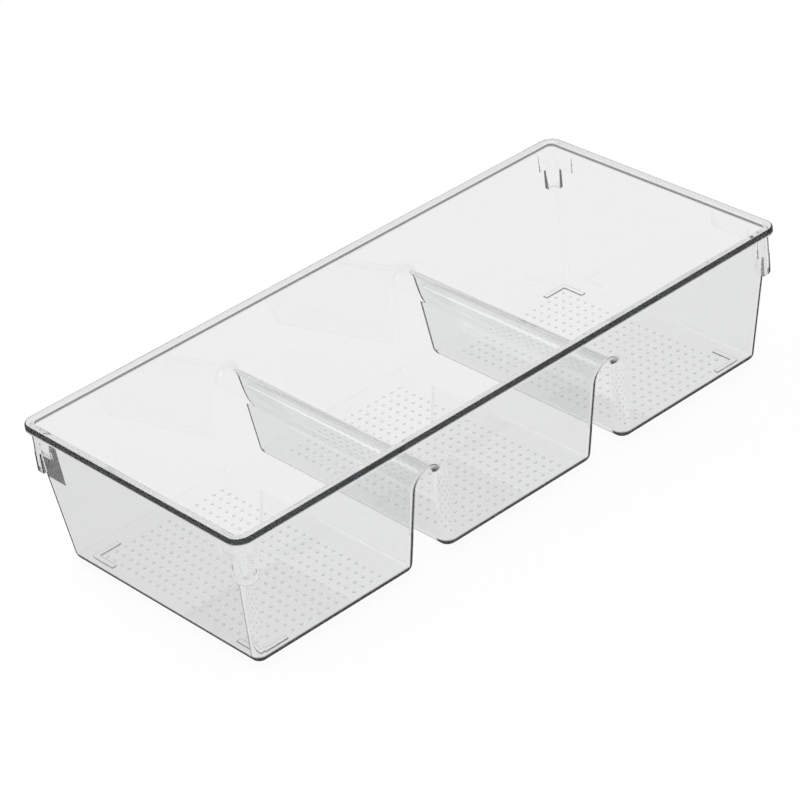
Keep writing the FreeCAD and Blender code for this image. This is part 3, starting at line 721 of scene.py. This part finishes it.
cap = dots.node("GeometryNodeSetPosition", {}, {0: ball.outputs[0], "Position": dots.vector(
    dots.maths("MULTIPLY", spot["X"], radius), dots.maths("MULTIPLY", spot["Y"], radius),
    dots.maths("MULTIPLY", dots.maths("MINIMUM", spot["Z"], 0.0), height))})
uneven = dots.node("FunctionNodeRandomValue", {"data_type": "FLOAT_VECTOR"}, {
    "Min": DOT_LEAST, "Max": DOT_MOST, "Seed": seed})
caps = dots.node("GeometryNodeInstanceOnPoints", {}, {
    "Points": free.outputs[0], "Instance": cap.outputs[0], "Scale": uneven.outputs[0]})
joined = dots.node("GeometryNodeRealizeInstances", {}, {0: caps.outputs[0]})
dressed = dots.node("GeometryNodeSetMaterial", {}, {0: joined.outputs[0], "Material": polystyrene})
dots.node("NodeGroupOutput", {}, {0: dressed.outputs[0]})

dot_mesh = dots.as_mesh("dot_carrier")
dot_mesh.materials.clear()                # the carrier had none, which leaves an empty slot
dot_mesh.materials.append(polystyrene)
grip_dots = in_scene("grip_dots", dot_mesh)
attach(grip_dots, "root")

# Floor and backdrop: a plain white sweep that the tray stands on. The camera sees it white, with the
# tray's soft shadow kept. Through the plastic it shows white near the tray and dark farther off, and
# mirrored in the plastic it is much weaker.

FLOOR_SIZE, FLOOR_HEIGHT, FLOOR_COLOUR = 6.0, -0.0004, (0.85, 0.85, 0.85, 1.0)
SHEET_REACH, SHEET_GLOW = (0.35, 0.9), (0.9, 0.05)   # distances from the middle, and the glow at each
CAMERA_WHITE, MIRRORED_SHARE = 0.9, 0.12


def light_paths(shade):
    """Whether a ray comes straight from the camera, has passed through plastic, or is mirrored off it."""
    path = shade.node("ShaderNodeLightPath")
    straight_on, passed, glossy = [shade.value(path.outputs[name]) for name in (
        "Is Camera Ray", "Is Transmission Ray", "Is Glossy Ray")]
    return straight_on, passed, glossy * (1 - passed)


bpy.ops.mesh.primitive_plane_add(size=FLOOR_SIZE, location=(0, 0, FLOOR_HEIGHT))
floor = bpy.context.object
floor.name = "floor"
shade = Shade(bpy.data.materials.new("white_floor"))
straight_on, passed, mirrored = light_paths(shade)
place = shade.node("ShaderNodeTexCoord").outputs["Object"]
reach = shade.node("ShaderNodeVectorMath", {"operation": "LENGTH"}, {0: place}).outputs["Value"]
sheet = shade.ramp(reach, *SHEET_REACH, *SHEET_GLOW)
glow = (straight_on + (1 - straight_on) * sheet) * (1 - mirrored * (1 - MIRRORED_SHARE))
colour = shade.node("ShaderNodeCombineXYZ", {}, {"X": glow, "Y": glow, "Z": glow})
white = shade.node("ShaderNodeEmission", {}, {"Color": colour.outputs[0], "Strength": 1.0})
lit = shade.node("ShaderNodeBsdfDiffuse", {}, {"Color": FLOOR_COLOUR})
mixed = shade.node("ShaderNodeMixShader", {}, {
    0: straight_on * CAMERA_WHITE + mirrored + passed, 1: lit.outputs[0], 2: white.outputs[0]})
shade.node("ShaderNodeOutputMaterial", {}, {"Surface": mixed.outputs[0]})
floor.data.materials.append(shade.block)

# Light: a pale room, lightest low down behind the camera, and one broad lamp above the tray.
# Rays that the plastic mirrors see the room much dimmer, as they do the floor.

AHEAD_X, AHEAD_Y = 0.628, 0.778           # the direction in which the camera looks over the floor
AHEAD_RANGE, HEIGHT_RANGE = (-0.5, 0.2), (0.2, 0.7)
PLAIN_LEVEL, LOW_LEVEL, HIGH_LEVEL, FAR_LEVEL = 0.9, 1.0, 0.85, 0.85
LAMP_LONG, LAMP_WIDE, LAMP_WATTS, LAMP_PLACE = 0.9, 0.6, 4.0, Vector((-0.3, 0.3, 0.9))

world = bpy.data.worlds.new("studio")
bpy.context.scene.world = world
sky = Shade(world)
straight_on, passed, mirrored = light_paths(sky)
x, y, z = sky.split(sky.node("ShaderNodeTexCoord").outputs["Generated"])
near_level = sky.ramp(z, *HEIGHT_RANGE, LOW_LEVEL, HIGH_LEVEL)
ahead = sky.ramp(x * AHEAD_X + y * AHEAD_Y, *AHEAD_RANGE)
room = near_level + ahead * (FAR_LEVEL - near_level)
level = (1 - mirrored - passed) * PLAIN_LEVEL + (passed + mirrored * MIRRORED_SHARE) * room
background = sky.node("ShaderNodeBackground", {}, {"Color": (1, 1, 1, 1), "Strength": level})
sky.node("ShaderNodeOutputWorld", {}, {"Surface": background.outputs[0]})

lamp = bpy.data.lights.new("softbox", "AREA")
lamp.shape = "RECTANGLE"
lamp.size, lamp.size_y = LAMP_LONG, LAMP_WIDE
lamp.energy = LAMP_WATTS
softbox = in_scene("softbox", lamp)
softbox.location = LAMP_PLACE
softbox.rotation_euler = (-LAMP_PLACE).to_track_quat("-Z", "Y").to_euler()
softbox.visible_transmission = False

# Camera: the place and lens that the photograph was taken with, found by fitting the rows of dots
# under the bins. The photograph is turned a little, so the camera is rolled.

LENS, SENSOR, CLIP_END = 144.93, 36.0, 20
AZIMUTH, ELEVATION, ROLL = math.radians(-38.904), math.radians(31.681), math.radians(-7.15)
TARGET, DISTANCE = Vector((0.02623, 0.04537, 0.0)), 1.5096
LIGHT_BOUNCES = 400                       # fewer end inside the rim, which then turns black

camera_data = bpy.data.cameras.new("camera")
camera_data.lens = LENS
camera_data.sensor_width = SENSOR
camera_data.clip_end = CLIP_END
camera = in_scene("camera", camera_data)
back = Vector((math.sin(AZIMUTH) * math.cos(ELEVATION), -math.cos(AZIMUTH) * math.cos(ELEVATION),
               math.sin(ELEVATION)))
right = Vector((math.cos(AZIMUTH), math.sin(AZIMUTH), 0))
up = back.cross(right)
tilted_right = right * math.cos(ROLL) + up * math.sin(ROLL)
tilted_up = -right * math.sin(ROLL) + up * math.cos(ROLL)
turned = Matrix((tilted_right, tilted_up, back)).transposed()
camera.matrix_world = Matrix.Translation(TARGET + back * DISTANCE) @ turned.to_4x4()
bpy.context.scene.camera = camera

bpy.context.scene.view_settings.view_transform = "Standard"
for kind in ("max_bounces", "transmission_bounces", "glossy_bounces"):
    setattr(bpy.context.scene.cycles, kind, LIGHT_BOUNCES)
